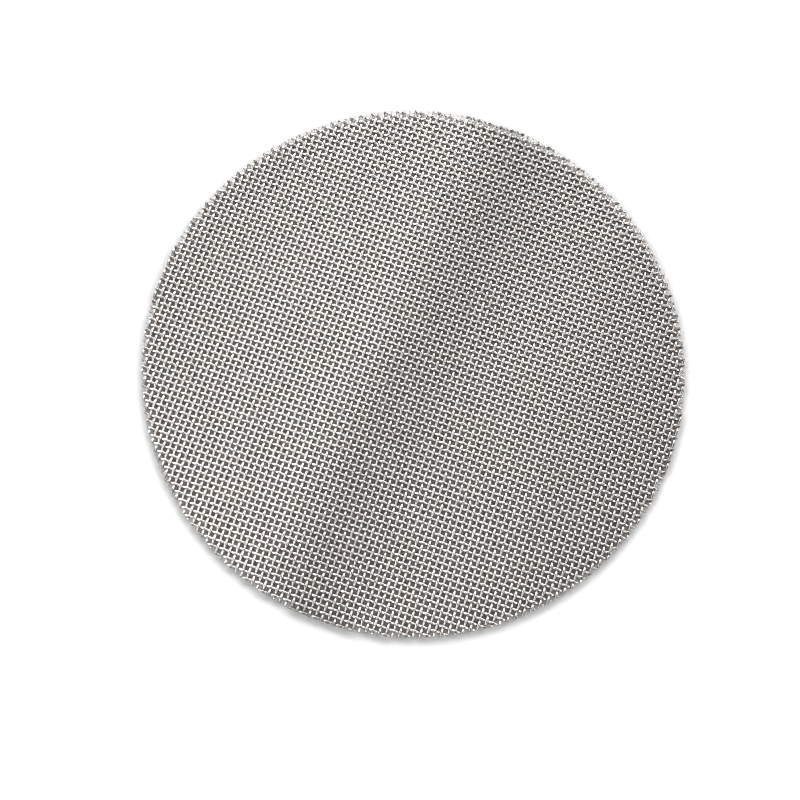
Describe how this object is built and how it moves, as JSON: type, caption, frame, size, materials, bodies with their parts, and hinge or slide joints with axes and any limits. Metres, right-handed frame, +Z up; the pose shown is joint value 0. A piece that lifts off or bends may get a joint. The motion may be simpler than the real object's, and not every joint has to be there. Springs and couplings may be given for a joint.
{
  "type": "wire mesh filter disc",
  "caption": "Flat round screen cut from square plain-weave steel wire cloth, with bare cut wire ends at the rim, that strains solids out of a liquid, gas or melt.",
  "frame": {"origin": "middle of the disc, on the surface that it lies on", "axes": "+Z up through the thickness of the cloth, +X across the warp wires, +Y along the warp wires"},
  "size_m": [0.075, 0.075, 0.0007],
  "materials": {
    "steel_wire": "bright drawn stainless wire, lightly burnished at the crossings"
  },
  "bodies": {
    "root": {"mesh_disc": "steel_wire"}
  },
  "joints": []
}
